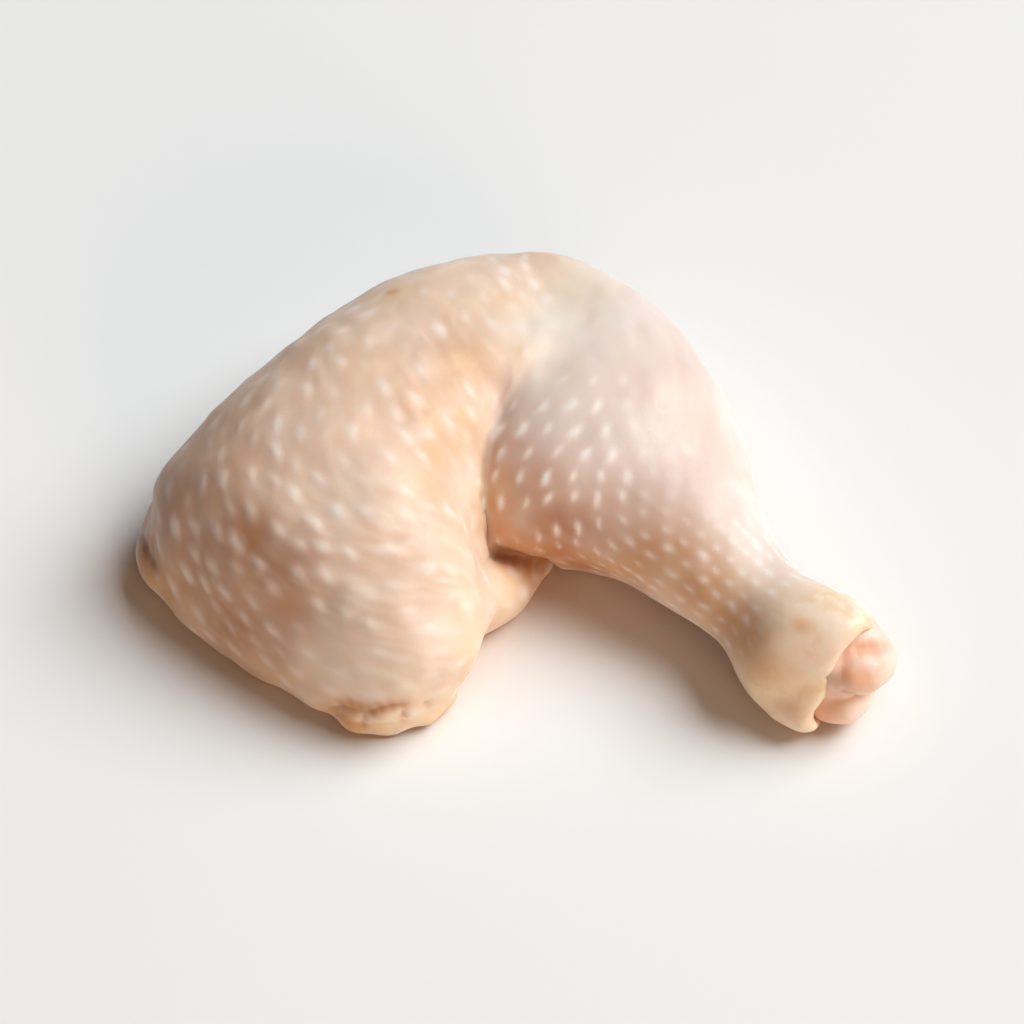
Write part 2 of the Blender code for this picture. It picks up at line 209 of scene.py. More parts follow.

# Creases pressed into the skin: the depth and the width in mm, how much shade is painted in
# the crease, and its line in the picture.
CREASES = [
    # the slit under the drumstick
    (3.0, 1.3, 1.0, [(487, 548), (503, 555), (520, 560), (540, 566), (558, 571)]),
    # the ruffle's long fold, the two that part its lobes and the dimple at its near end
    (0.5, 0.55, 0.08, [(326, 708), (340, 707), (352, 710), (366, 712), (380, 707), (396, 704),
                       (412, 702)]),
    (0.6, 0.7, 0.05, [(365, 713), (361, 722), (363, 732)]),
    (0.7, 0.8, 0.05, [(403, 707), (402, 717), (406, 727)]),
    (0.5, 0.8, 0.05, [(424, 701), (428, 708)]),
    # the tuck at the thigh's far corner
    (0.5, 1.0, 0.4, [(141, 528), (144, 540), (148, 551), (153, 562), (158, 572)]),
    # the fold across the hock
    (0.6, 0.8, 0.2, [(831, 672), (820, 677), (808, 677)]),
]

# Round swellings, and where the height is below 0 hollows: the place in the picture, the
# radius and the height in mm.
SWELLINGS = [
    # the ruffle's three lobes and the thigh's rim under them, and the tuck
    (384, 717, 2.8, 0.8), (415, 713, 2.8, 0.8), (350, 718, 2.6, 0.4), (400, 734, 5.0, -1.0),
    (141, 560, 5.0, 0.5),
    # beside the slit, and the knee's hollow where the crease runs out
    (552, 561, 5.0, -1.6), (565, 350, 12.0, 0.5), (524, 338, 9.0, 1.6), (505, 372, 8.0, 1.1),
    (575, 385, 10.0, 0.8), (526, 360, 6.0, 1.2), (520, 385, 6.0, 0.8),
    # the thigh's rim once more, and the drumstick's underside
    (388, 738, 4.5, -1.3), (614, 580, 9.0, -1.4), (574, 572, 6.0, -0.9),
]

# Parts of the sleeve's rim that are drawn aside: the place in the picture, the radius in mm,
# and the way along X, Y and Z in mm. They are its far side, the pocket and its lowest edge.
RIM_DRAWN = [
    (881, 623, 4.0, (-0.4, -1.3, -2.4)),
    (818, 712, 4.4, (-2.3, 0.6, 0.0)),
    (810, 724, 7.0, (0.4, -2.0, -0.4)),
]

# The sleeve's near rim and the lip above the notch, which are drawn on.
NEAR_RIM = [(832, 636), (820, 655), (811, 676), (810, 692)]
NOTCH_LIP = [(477, 520), (477, 530), (477, 542)]

# Half the opening of the sleeve, sideways and upwards.
SLEEVE_ASIDE, SLEEVE_UP = 11.3, 12.5

# How strongly the thigh's skin is pleated, and how busy it is with follicles.
PLEATED = [
    (450, 565, 20, 1.0), (420, 620, 18, 1.0), (350, 560, 16, 0.35), (300, 610, 15, 0.6),
    (455, 410, 14, 0.7), (400, 480, 14, 0.1), (470, 480, 14, 0.7), (450, 660, 12, 0.7),
    (380, 660, 12, 0.5), (420, 350, 14, 0.5), (360, 370, 14, 0.4), (220, 590, 14, 0.5),
]
BUSY = [(290, 570, 22, 1.0), (200, 560, 18, 0.8), (240, 480, 20, 0.5)]

# The drumstick's low left side, where its follicles and then its fibres are faint.
FEW_FOLLICLES = [(520, 545, 9, 0.7), (560, 562, 9, 0.7), (600, 574, 9, 0.6)]
FEW_FIBRES = [(510, 530, 9, 1.0), (545, 550, 9, 1.0), (590, 560, 9, 0.7)]

# The knuckles' grooves, swellings, orange hollows and creamy ridges, given in the same ways;
# the orange also paints shade, the cream light.
GROOVES = [
    (0.3, 1.7, 0.6, [(852, 652), (860, 650), (868, 649), (877, 650), (884, 652)]),
    (0.5, 1.2, 1.0, [(840, 688), (850, 693), (862, 694), (874, 689)]),
    (0.3, 1.2, 0.2, [(848, 640), (844, 652), (842, 668), (844, 684)]),
]
KNUCKLE_LOBES = [
    (870, 666, 4, 0.4), (888, 655, 5, 1.3), (868, 708, 5, 1.2), (848, 716, 5, 0.8),
]
# The orange also paints shade in the groove over the upper knuckle and on its underside.
ORANGE_AND_SHADE = [
    (858, 679, 2.6, 1.0), (848, 674, 2.2, 0.9), (829, 712, 4.2, 0.8), (836, 702, 2.4, 0.6),
    (860, 650, 2.0, 0.6), (872, 650, 2.2, 0.6), (850, 660, 2.4, 0.4), (868, 680, 2.4, 0.4),
]
# The cream also paints light on the lower knuckle, which turns from the lamps.
RIDGES_AND_LIGHT = [
    (872, 634, 3.4, 0.6), (886, 640, 3.0, 0.5), (868, 662, 2.4, 0.8), (888, 662, 3.4, 0.7),
    (851, 694, 2.6, 0.9), (862, 702, 5.0, 1.0), (846, 714, 5.0, 0.9), (880, 680, 3.0, 0.6),
    (850, 712, 5.0, 1.0), (826, 664, 3.6, 1.0), (822, 680, 3.0, 1.0), (832, 648, 3.6, 1.0),
]

# Relief in mm: the lumps of the flesh, the thigh's pleats, the drumstick's ribs, the fibres,
# the drumstick's follicles, and the cartilage with its lumps. UNEVEN is how far the outlines
# of follicles and pleats wander.
WIDE_LUMPS, SMALL_LUMPS = 0.28, 0.10
PLEAT_RISE, RIB_RISE, FIBRE_RISE, FOLLICLE_RISE = 0.36, 0.06, 0.03, 0.16
CARTILAGE_RISE, CARTILAGE_LUMPS = 0.45, 0.12
UNEVEN = 0.22


def smooth_step(low, high, values):
    """0 below low, 1 above high and an easy slope between."""
    t = np.clip((values - low) / (high - low), 0, 1)
    return t * t * (3 - 2 * t)


def unit(vectors):
    """The vectors, each made 1 long."""
    return vectors / np.maximum(np.linalg.norm(vectors, axis=-1, keepdims=True), 1e-9)


class Surface:
    """A finely meshed skin, with the ways to find places on it and to work its relief."""

    def __init__(self, thing):
        self.thing = thing
        mesh = thing.data
        self.points = self.read("co").astype(float) / MM
        self.normals = unit(self.read("normal").astype(float))
        faces = [tuple(face.vertices) for face in mesh.polygons]
        edges = np.empty(len(mesh.edges) * 2, np.int64)
        mesh.edges.foreach_get("vertices", edges)
        self.ends = edges.reshape(-1, 2).T
        self.tree = BVHTree.FromPolygons(self.points.tolist(), faces)
        self.near = KDTree(len(self.points))
        for i, point in enumerate(self.points):
            self.near.insert(point, i)
        self.near.balance()
        self.uneven = self.points + UNEVEN * np.stack(
            [waves(self.points, 5.0, seed) for seed in (71, 72, 73)], 1)
        self.rise = np.zeros(len(self.points))
        self.shift = np.zeros((len(self.points), 3))

    def read(self, what):
        """Three numbers for each point of the mesh."""
        values = np.empty(len(self.thing.data.vertices) * 3, np.float32)
        self.thing.data.vertices.foreach_get(what, values)
        return values.reshape(-1, 3)

    def seen_at(self, across, down):
        """The place on the skin that the camera sees there in the picture."""
        side = (across - PICTURE / 2) / PICTURE * SENSOR / LENS
        height = (PICTURE / 2 - down) / PICTURE * SENSOR / LENS
        sight = (AHEAD + RIGHT * side + UP * height).normalized()
        hit = self.tree.ray_cast(CAMERA_PLACE, sight)[0]
        if hit is None:
            hit = self.tree.find_nearest(CAMERA_PLACE + sight * CAMERA_AWAY)[0]
        return np.array(hit)

    def in_picture(self):
        """Where each point comes in the picture, and how much it faces the camera."""
        gap = self.points - np.array(CAMERA_PLACE)
        scale = PICTURE * LENS / SENSOR / (gap @ np.array(AHEAD))
        across = PICTURE / 2 + gap @ np.array(RIGHT) * scale
        down = PICTURE / 2 - gap @ np.array(UP) * scale
        return across, down, -(self.normals @ np.array(AHEAD))

    def spread(self, apart, seed):
        """The numbers of points scattered over the skin, no two nearer than that."""
        order = list(range(len(self.points)))
        random.Random(seed).shuffle(order)
        taken = np.zeros(len(self.points), bool)
        kept = []
        for i in order:
            if not taken[i]:
                kept.append(i)
                close = self.near.find_range(self.points[i], apart)
                taken[[found for _, found, _ in close]] = True
        return kept

    def normal_at(self, place):
        """Which way the skin faces there."""
        return np.array(self.tree.find_nearest(Vector(place))[1])

    def away_from(self, across, down):
        """Each point's distance from a place in the picture."""
        return np.linalg.norm(self.points - self.seen_at(across, down), axis=1)

    def at(self, across, down, radius):
        """1 at a place in the picture, falling away to 0 round it."""
        return np.exp(-(self.away_from(across, down) / radius) ** 2)

    def beside(self, places, radius):
        """1 on a line through places in the picture, falling away to 0 beside it."""
        near, _ = self.from_line(self.line(places))
        return np.exp(-(near / radius) ** 2)

    def area(self, spots):
        """How strongly each point lies in the soft-edged spots."""
        total = np.zeros(len(self.points))
        for across, down, radius, strength in spots:
            total = np.maximum(total, strength * self.at(across, down, radius))
        return total

    def stamp(self, place, along, length, width, reach=2.4):
        """The points around a place, and their squared distance from it in half-sizes.

        The distances are uneven, so that no two stamps come out as the same oval.
        """
        across = unit(np.cross(self.normal_at(place), along))
        found = [i for _, i, _ in self.near.find_range(place, reach * max(length, width))]
        gap = self.uneven[found] - place
        return np.array(found), (gap @ along / length) ** 2 + (gap @ across / width) ** 2

    def line(self, places, steps=8):
        """A close row of points on the skin through places in the picture."""
        corners = [self.seen_at(*place) for place in places]
        row = []
        for a, b in zip(corners, corners[1:]):
            for k in range(steps):
                nearest = self.tree.find_nearest(Vector(a + (b - a) * k / steps))[0]
                row.append(np.array(nearest))
        row.append(corners[-1])
        return np.array(row)

    def from_line(self, row):
        """Each point's distance from the row, and how far along it the nearest place is."""
        near = np.full(len(self.points), np.inf)
        share = np.zeros(len(self.points))
        for i, (a, b) in enumerate(zip(row, row[1:])):
            run = b - a
            t = np.clip((self.points - a) @ run / max(run @ run, 1e-9), 0, 1)
            away = np.linalg.norm(self.points - a - t[:, None] * run, axis=1)
            closer = away < near
            near[closer] = away[closer]
            share[closer] = (i + t[closer]) / (len(row) - 1)
        return near, share

    def from_edges(self, to_first, to_second):
        """Adds up at each point what each edge brings to its first and to its second end."""
        first, second = self.ends
        count = len(self.points)
        return np.bincount(first, to_first, count) + np.bincount(second, to_second, count)

    def press(self, creases):
        """Presses creases into the skin, and gives back the shade they paint on each point."""
        dark = np.zeros(len(self.points))
        for depth, width, darkness, places in creases:
            near, share = self.from_line(self.line(places))
            fade = np.clip(6 * np.minimum(share, 1 - share) + 0.1, 0, 1)
            within = fade * np.exp(-(near / width) ** 2)
            self.rise -= depth * within
            dark = np.maximum(dark, darkness * within)
        return dark

    def swell(self, swellings):
        """Raises round lobes."""
        for across, down, radius, height in swellings:
            self.rise += height * self.at(across, down, radius)

    def draw(self, where, way):
        """Draws the skin that way, in full where each point's share is 1."""
        self.shift += where[:, None] * np.array(way)

    def keep(self):
        """Moves the skin by what was worked into it, and leaves nothing below the table."""
        points = self.points + self.normals * self.rise[:, None] + self.shift
        points[:, 2] = np.maximum(points[:, 2], 0.0)
        self.thing.data.vertices.foreach_set("co", (points * MM).ravel())
        self.thing.data.update()

    def mark(self, name, values):
        """Stores a value for each point, for the material to read."""
        attribute = self.thing.data.attributes.new(name, "FLOAT", "POINT")
        attribute.data.foreach_set("value", np.asarray(values, np.float32))


def waves(points, length, seed, count=24, spread=0.25):
    """An even unevenness of about that wavelength, from -1 to 1 mostly."""
    rng = np.random.default_rng(seed)
    headings = unit(rng.normal(size=(count, 3)))
    pitch = 2 * math.pi / (length * (1 + spread * rng.uniform(-1, 1, count)))
    phase = rng.uniform(0, 2 * math.pi, count)
    return np.cos(points @ (headings * pitch[:, None]).T + phase).sum(1) / math.sqrt(count)


def new_object(name, mesh):
    """An object holding the mesh."""
    data = bpy.data.meshes.new(name)
    mesh.to_mesh(data)
    mesh.free()
    made = bpy.data.objects.new(name, data)
    bpy.context.scene.collection.objects.link(made)
    return made


def keep_modifiers(thing):
    """Makes the modified shape the object's own mesh."""
    graph = bpy.context.evaluated_depsgraph_get()
    rough = thing.data
    thing.data = bpy.data.meshes.new_from_object(thing.evaluated_get(graph))
    thing.modifiers.clear()
    bpy.data.meshes.remove(rough)


def refine(thing, mesh_size):
    """Makes the shape over as one fine, even and smooth mesh."""
    facets = thing.modifiers.new("round the facets", "SUBSURF")
    facets.levels = 1
    remesh = thing.modifiers.new("even mesh", "REMESH")
    remesh.mode = "VOXEL"
    remesh.voxel_size = mesh_size * MM
    smooth = thing.modifiers.new("smooth", "SMOOTH")
    smooth.factor = 0.5
    smooth.iterations = 4
    keep_modifiers(thing)
    thing.data.shade_smooth()


def drop_islands(thing):
    """Deletes all but the mesh's largest part, such as the walls of a stopped-up hole."""
    mesh = bmesh.new()
    mesh.from_mesh(thing.data)
    islands, seen = [], set()
    for start in mesh.verts:
        if start in seen:
            continue
        island, queue = [], [start]
        seen.add(start)
        while queue:
            vert = queue.pop()
            island.append(vert)
            for edge in vert.link_edges:
                other = edge.other_vert(vert)
                if other not in seen:
                    seen.add(other)
                    queue.append(other)
        islands.append(island)
    largest = max(islands, key=len)
    spare = [vert for island in islands if island is not largest for vert in island]
    bmesh.ops.delete(mesh, geom=spare, context="VERTS")
    mesh.to_mesh(thing.data)
    mesh.free()


def fine_copy(node, name):
    """The CAD node's mesh in an object of its own, with its split corners joined."""
    mesh = bmesh.new()
    mesh.from_mesh(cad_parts[node].data)
    bmesh.ops.remove_doubles(mesh, verts=mesh.verts, dist=1e-6)
    return new_object(name, mesh)


# ---- the skin ----

def along_line(line, at):
    """The place and heading at a distance in mm along a middle line."""
    for a, b in zip(line, line[1:]):
        run = b - a
        if at <= run.length:
            return a + run * at / run.length, run.normalized()
        at -= run.length
    return line[-1].copy(), (line[-1] - line[-2]).normalized()


def along_heading(point):
    """The heading of the drumstick beside a point: down from the knee, then along the shank."""
    turn = float(smooth_step(8, -32, point[1]))
    return Vector((0.05, -1, -0.25)) * (1 - turn) + SHANK_RUN * turn


def ring_round(skin, middle, run, apart, widest):
    """Places that far apart on the skin in a ring square to the run, starting on top."""
    side = run.cross(Vector((0, 0, 1))).normalized()
    above = side.cross(run)

    def look(turn):
        outward = side * math.sin(turn) + above * math.cos(turn)
        hit, _, _, distance = skin.tree.ray_cast(middle, outward)
        return hit, outward, widest if distance is None else min(distance, widest)

    sights = 72
    turns = [2 * math.pi * k / sights for k in range(sights + 1)]
    rim = [outward * distance for _, outward, distance in map(look, turns)]
    arc = np.cumsum([0] + [(b - a).length for a, b in zip(rim, rim[1:])])
    count = round(arc[-1] / apart)
    places = []
    for k in range(count):
        hit, _, distance = look(float(np.interp(k / count * arc[-1], arc, turns)))
        if hit is not None and distance < widest:
            places.append(hit)
    return places


def follicle_rows(skin, line, seed):
    """Places of follicles in rings round a middle line, with the line's heading at each.

    The rings are level in the picture at the knee and square to the shank at the neck. Half
    rings fill in where the bend of the line draws the rings apart.
    """
    rng = random.Random(seed)
    line = [Vector(point) for point in line]
    length = sum((b - a).length for a, b in zip(line, line[1:]))

    def gap_at(at):
        return KNEE_GAP + (NECK_GAP - KNEE_GAP) * float(smooth_step(0.45, 0.8, at / length))

    rings, at = [], 0.5 * KNEE_GAP
    while at < length:
        rings.append(at)
        at += gap_at(at)
    rings += [(a + b) / 2 for a, b in zip(rings, rings[1:])]
    places = []
    taken = np.full((1, 3), 1e6)
    for at in rings:
        middle, run = along_line(line, at)
        level = float(smooth_step(0.95, 0.5, at / length))
        plane = (run * (1 - level) - UP * level).normalized()
        gap = gap_at(at)
        for place in ring_round(skin, middle, plane, apart=RING_SHARE * gap, widest=45):
            slip = Vector([rng.uniform(-1, 1) for _ in range(3)]) * SLIP_SHARE * gap
            nearest = np.array(skin.tree.find_nearest(place + slip)[0])
            if np.linalg.norm(taken - nearest, axis=1).min() > CLOSE_SHARE * gap:
                taken = np.vstack([taken, nearest])
                places.append((nearest, np.array(run), rng.random()))
    return places


def skin_grain(skin):
    """The way the thigh's skin is drawn at each point, laid flat on the surface."""
    total = np.zeros_like(skin.points)
    for across, down, slant in GRAIN:
        angle = math.radians(slant)
        heading = np.array(RIGHT * math.cos(angle) + UP * math.sin(angle))
        total += heading / (skin.away_from(across, down)[:, None] ** 3 + 30)
    flat = total - skin.normals * (total * skin.normals).sum(1, keepdims=True)
    return unit(flat)


def soften(skin, where, rounds):
    """Rounds off what is sharp, as strongly as that for each point."""
    a, b = skin.ends
    number = skin.from_edges(None, None)
    moved = skin.points.copy()
    for _ in range(rounds):
        middle = np.stack([skin.from_edges(moved[b, k], moved[a, k]) / number
                           for k in range(3)], 1)
        moved += 0.6 * where[:, None] * (middle - moved)
    skin.shift += moved - skin.points


def side_of(points, row):
    """Which side of a row each point is on from above, 1 or -1, and how far from it."""
    near = np.full(len(points), np.inf)
    side = np.zeros(len(points))
    for a, b in zip(row, row[1:]):
        run = (b - a)[:2]
        gap = points[:, :2] - a[:2]
        t = np.clip(gap @ run / max(run @ run, 1e-9), 0, 1)
        off = gap - t[:, None] * run
        away = np.linalg.norm(off, axis=1)
        closer = away < near
        near[closer] = away[closer]
        side[closer] = np.sign(off[closer] @ np.array([run[1], -run[0]]))
    return side, near


def lap_over(skin):
    """Laps the edge of the thigh's skin over the drumstick.

    Gives back how far each point is on the drumstick's side, from 0 to 1, and the shade
    painted into the crease there.
    """
    row = skin.line(LAP)
    near, share = skin.from_line(row)
    side, side_near = side_of(skin.points, np.array([*BEFORE_LAP, *row, *BEYOND_LAP]))
    past = side * near
    strength = smooth_step(0.68, 0.42, share)
    low = smooth_step(0.55, 0.2, share)
    lip = np.exp(-((past + 2.2) / 2.1) ** 2)
    groove = np.exp(-((past - 0.4) / 0.9) ** 2)
    skin.rise += strength * ((0.3 + 0.5 * low) * lip + 0.3 * groove)
    blend = 0.8 + 2 * smooth_step(0.3, 0.6, share) + 7 * smooth_step(0.55, 1.0, share)
    drumstick = smooth_step(-blend, blend, side * side_near)
    # The flap under the slit is the thigh's.
    across, down, _ = skin.in_picture()
    flap = smooth_step(-3, 3, down - (547 + 0.3 * (across - 487)))
    flap *= smooth_step(566, 556, across) * smooth_step(640, 630, down)
    drumstick *= 1 - flap
    return drumstick, 0.15 * strength * groove


class GooseFlesh:
    """The follicles raised so far: where their tips are, and how pale they make the skin."""

    def __init__(self, skin):
        self.skin = skin
        self.tips = np.zeros(len(skin.points))
        self.pale = np.zeros(len(skin.points))

    def raise_follicle(self, place, along, length, width, height, paleness):
        """Raises an oval bump with a pale tip, in a wider patch of paler skin."""
        found, square = self.skin.stamp(place, along, length, width)
        self.skin.rise[found] += height * np.exp(-square)
        self.tips[found] = np.maximum(self.tips[found], paleness * np.exp(-0.8 * square))
        self.pale[found] = np.maximum(self.pale[found],
                                      0.8 * paleness * np.exp(-0.45 * square))

    def streak(self, place, along, length, width, paleness):
        """Draws the pale of a follicle out along the skin."""
        found, square = self.skin.stamp(place, along, length, width)
        self.pale[found] = np.maximum(self.pale[found], paleness * np.exp(-square))


def shown_follicles(skin):
    """How plainly the drumstick's follicles show at each point.

    They fade where the skin is stretched over the drumstick's top and outer side.
    """
    across, down, facing = skin.in_picture()
    outer = smooth_step(600, 700, across + 0.35 * (480 - down)) * smooth_step(548, 498, down)
    top = smooth_step(400, 372, down + 0.12 * (across - 560))
    shown = (1 - 0.96 * np.maximum(outer, top)) * (1 - 0.35 * smooth_step(590, 660, across))
    hidden_side = 0.45 * smooth_step(0.15, -0.1, facing)
    return np.maximum(shown, hidden_side) * (1 - skin.area(FEW_FOLLICLES))


def drumstick_follicles(skin, drumstick, flesh):
    """Follicles in rings, narrower and smaller towards the neck."""
    shown = shown_follicles(skin)
    for place, run, luck in follicle_rows(skin, DRUMSTICK_LINE, seed=3):
        nearest = skin.near.find(place)[1]
        if drumstick[nearest] < 0.5:
            continue
        side = unit(np.cross(run, skin.normal_at(place)))
        lean = 1.5 * smooth_step(34, 10, np.array(place[0]))
        size = (0.85 + 0.3 * luck) * (0.72 + 0.28 * smooth_step(-35, 0, place[1]))
        width = 1.2 - 0.42 * smooth_step(36, 16, np.array(place[0]))
        width -= 0.35 * smooth_step(-15, -35, place[1])
        strength = float(shown[nearest]) * (0.6 + 0.4 * luck)
        strength *= float(smooth_step(-12, -20, (place - np.array(SHANK_END)) @ SHANK_RUN))
        flesh.raise_follicle(place, unit(run + side * lean), 1.6 * size, width * size,
                             height=FOLLICLE_RISE * strength, paleness=strength)
        flesh.streak(place, unit(run + 0.2 * lean * side), 4.4, 1.6, 0.45 * strength)


def thigh_follicles(skin, drumstick, grain, flesh):
    """Follicles scattered over the thigh, each drawn out along the skin's grain."""
    busy = skin.area(BUSY)
    for i in skin.spread(THIGH_GAP, seed=5):
        place = skin.points[i]
        luck = busy[i] + 0.6 * waves(place[None], 9, 51)[0] + 0.5
        if drumstick[i] > 0.3 or luck < 0.15:
            continue
        strength = min(0.3 + 0.6 * luck, 1.15)
        size = 0.85 + 0.3 * strength
        height = 0.12 + 0.36 * min(busy[i], 1)
        flesh.raise_follicle(place, grain[i], 2.0 * size, 1.02 * size,
                             height=height * strength, paleness=0.75 * strength)


def pleats(skin, drumstick, grain):
    """Draws the thigh's skin into short pleats along its grain, radiating from the crease."""
    strong = skin.area(PLEATED)
    crest = np.zeros(len(skin.points))
    rng = random.Random(11)
    tries = 2100
    for _ in range(tries):
        i = rng.randrange(len(skin.points))
        if drumstick[i] > 0.3 or rng.random() > 0.12 + strong[i]:
            continue
        length = rng.uniform(3.5, 8.0)
        width = rng.uniform(1.1, 1.9)
        found, square = skin.stamp(skin.points[i], grain[i], length, width, 1.8)
        height = (0.35 + 0.65 * strong[i]) * rng.uniform(0.5, 1.0)
        crest[found] = np.maximum(crest[found], height * np.exp(-square))
    skin.rise += PLEAT_RISE * (crest - 0.3 * strong * (1 - drumstick))
    return crest


def fibres(skin, grain, rounds, seed):
    """Fine streaks along the grain, from about -1 to 1: an unevenness smeared along it."""
    a, b = skin.ends
    run = unit(skin.points[b] - skin.points[a])
    pull_a = (run * grain[a]).sum(1) ** 6
    pull_b = (run * grain[b]).sum(1) ** 6
    aside = 0.05
    weight = skin.from_edges(pull_a, pull_b) + aside
    number = skin.from_edges(None, None)
    streak = np.random.default_rng(seed).normal(size=len(skin.points))
    for _ in range(4):
        streak = 0.4 * streak + 0.6 * skin.from_edges(streak[b], streak[a]) / number
    for _ in range(rounds):
        drawn = skin.from_edges(pull_a * streak[b], pull_b * streak[a])
        streak = 0.4 * streak + 0.6 * (drawn + aside * streak) / weight
    return streak / (2 * streak.std())


def skin_fibres(skin, drumstick, grain):
    """Fibres along the thigh's grain and down the drumstick, with their faint relief."""
    down = np.array([np.array(along_heading(point)) for point in skin.points])
    down = unit(down - skin.normals * (down * skin.normals).sum(1, keepdims=True))
    way = unit(grain * (1 - drumstick)[:, None] + down * drumstick[:, None])
    fibre = fibres(skin, way, rounds=14, seed=61)
    fibre *= 1 - 0.8 * skin.area(FEW_FIBRES)
    fibre *= 1 - 0.35 * drumstick
    skin.rise += FIBRE_RISE * fibre
    return fibre


def ribs(skin, drumstick):
    """Faint lengthwise ribs on the drumstick, between its columns of follicles."""
    return drumstick * waves(skin.points * np.array([1.0, 0.25, 0.6]), 5.5, 21)


def fill_hollows(skin_piece):
    """Adds the lobes to the skin's mesh, which is then drawn over all of it."""
    mesh = bmesh.new()
    mesh.from_mesh(skin_piece.data)
    for middle, turn, tilt, sizes, square in LOBES:
        lobe = bmesh.ops.create_uvsphere(mesh, u_segments=32, v_segments=16, radius=1)["verts"]
        place = Matrix.Translation(middle * MM) @ Matrix.Rotation(turn, 4, "Z")
        place = place @ Matrix.Rotation(tilt, 4, "Y")
        place = place @ Matrix.Diagonal((*[size * MM for size in sizes], 1))
        for vert in lobe:
            x, y, z = vert.co
            round_size = (abs(x) ** square + math.hypot(y, z) ** square) ** (1 / square)
            vert.co = place @ (vert.co / round_size)
    mesh.to_mesh(skin_piece.data)
    mesh.free()


def from_hock(skin):
    """How far past the shank's end each point is in mm, and how far out, 1 at the sleeve."""
    gap = skin.points - np.array(SHANK_END)
    sideways = gap @ np.array(SHANK_RUN.cross(Vector((0, 0, 1))))
    return gap @ np.array(SHANK_RUN), np.hypot(sideways / SLEEVE_ASIDE, gap[:, 2] / SLEEVE_UP)


def draw_edges(skin, drumstick, out):
    """Draws the sleeve's rim aside and on over the knuckle, and the lip on over the notch."""
    for across, down, radius, way in RIM_DRAWN:
        skin.draw(skin.at(across, down, radius), way)
    rim = smooth_step(0.88, 1.0, out)
    skin.draw(skin.beside(NEAR_RIM, 6) * rim, (3.7, -0.7, 0.8))
    skin.draw(skin.at(861, 612, 5) * rim, (1.4, -0.9, 0.1))
    skin.draw(skin.beside(NOTCH_LIP, 3.2) * (1 - drumstick), (1.7, 0.0, 0.3))


def make_skin():
    """The whole skin as one piece."""
    skin_piece = fine_copy("leg", "leg_skin")
    fill_hollows(skin_piece)
    refine(skin_piece, SKIN_MESH)
    drop_islands(skin_piece)

    skin = Surface(skin_piece)
    soften(skin, skin.area(ROUNDED), rounds=240)
    skin.keep()
    skin = Surface(skin_piece)
    past, out = from_hock(skin)
    drumstick, crease = lap_over(skin)
    grain = skin_grain(skin)
    # The crease mark is painted shade in the creases and the slit.
    crease = np.maximum.reduce([crease, skin.press(CREASES), skin.area(SLIT)])
    skin.swell(SWELLINGS)
    draw_edges(skin, drumstick, out)

    lumps = waves(skin.points, 17, 31) * WIDE_LUMPS + waves(skin.points, 8, 32) * SMALL_LUMPS
    skin.rise += lumps * (1 - 0.6 * drumstick)
    crest = pleats(skin, drumstick, grain)
    rib = ribs(skin, drumstick)
    skin.rise += RIB_RISE * rib
    fibre = skin_fibres(skin, drumstick, grain)
    flesh = GooseFlesh(skin)
    drumstick_follicles(skin, drumstick, flesh)
    thigh_follicles(skin, drumstick, grain, flesh)
    rim = smooth_step(-5, -3, past) * smooth_step(7, 5, past)
    soften(skin, 0.5 * rim, rounds=50)

    # The pleats' crests are made pale: a painted highlight where they rise to the light.
    pale = np.maximum(flesh.pale, 0.6 * crest * (1 - drumstick))
    tissue = smooth_step(-6.5, -5, past) * smooth_step(1.0, 0.93, out)
    hock = smooth_step(-24, -10, past + 0.3 * waves(skin.points, 6, 33))
    for name, values in (("drumstick", drumstick), ("hock", hock), ("tissue", tissue),
                         ("follicle", flesh.tips), ("pale", np.clip(pale, 0, 1)),
                         ("crease", np.clip(crease, 0, 1)), ("rib", rib), ("fibre", fibre)):
        skin.mark(name, values)
    # The mauve and amber marks also hold painted shade, the cream and fat marks painted light.
    for name, spots in (("mauve", MAUVE_AND_SHADE), ("cream", CREAM_AND_LIGHT), ("fat", FAT_AND_LIGHT), ("yolk", YOLK),
                        ("amber", AMBER_AND_SHADE)):
        skin.mark(name, skin.area(spots))
    skin.keep()
    return skin_piece


# ---- the knuckles ----

def make_knuckles():
    """The shank bone with the cartilage of its joint."""
    knuckle_piece = fine_copy("shank_bone", "shank_and_knuckles")
    refine(knuckle_piece, KNUCKLE_MESH)
    bone = Surface(knuckle_piece)
    groove = bone.press(GROOVES)
    bone.rise += CARTILAGE_RISE
    bone.swell(KNUCKLE_LOBES)
    bone.rise += CARTILAGE_LUMPS * waves(bone.points, 6, 41)
    bone.mark("groove", groove)
    # The orange mark also holds painted shade, the cream mark painted light.
    bone.mark("orange", bone.area(ORANGE_AND_SHADE))
    bone.mark("cream", bone.area(RIDGES_AND_LIGHT))
    bone.keep()
    return knuckle_piece


# ---- finishes ----

# The skin's colours, each from its darker to its paler tone.
THIGH = (0.75, 0.56, 0.41), (0.84, 0.67, 0.53)
DRUMSTICK = (0.75, 0.60, 0.53), (0.82, 0.72, 0.66)
HOCK = (0.83, 0.62, 0.40), (0.93, 0.79, 0.64)
FIBRE = (0.64, 0.42, 0.26), (0.92, 0.80, 0.70)

# Tints laid over the skin.
THIGH_PINK = (0.72, 0.45, 0.30)
RIB_SHADE = (0.62, 0.43, 0.36)
HOCK_CREAM = (0.97, 0.88, 0.76)
HOCK_SPOT = (0.82, 0.56, 0.33)
# The white fat and creamy skin tints also paint light.
WHITE_FAT_AND_LIGHT = (0.99, 0.83, 0.61)
CREAMY_SKIN_AND_LIGHT = (0.96, 0.84, 0.74)
# The mauve flesh tint also paints shade.
MAUVE_FLESH_AND_SHADE = (0.44, 0.17, 0.08)
YELLOW_FAT = (0.88, 0.58, 0.24)
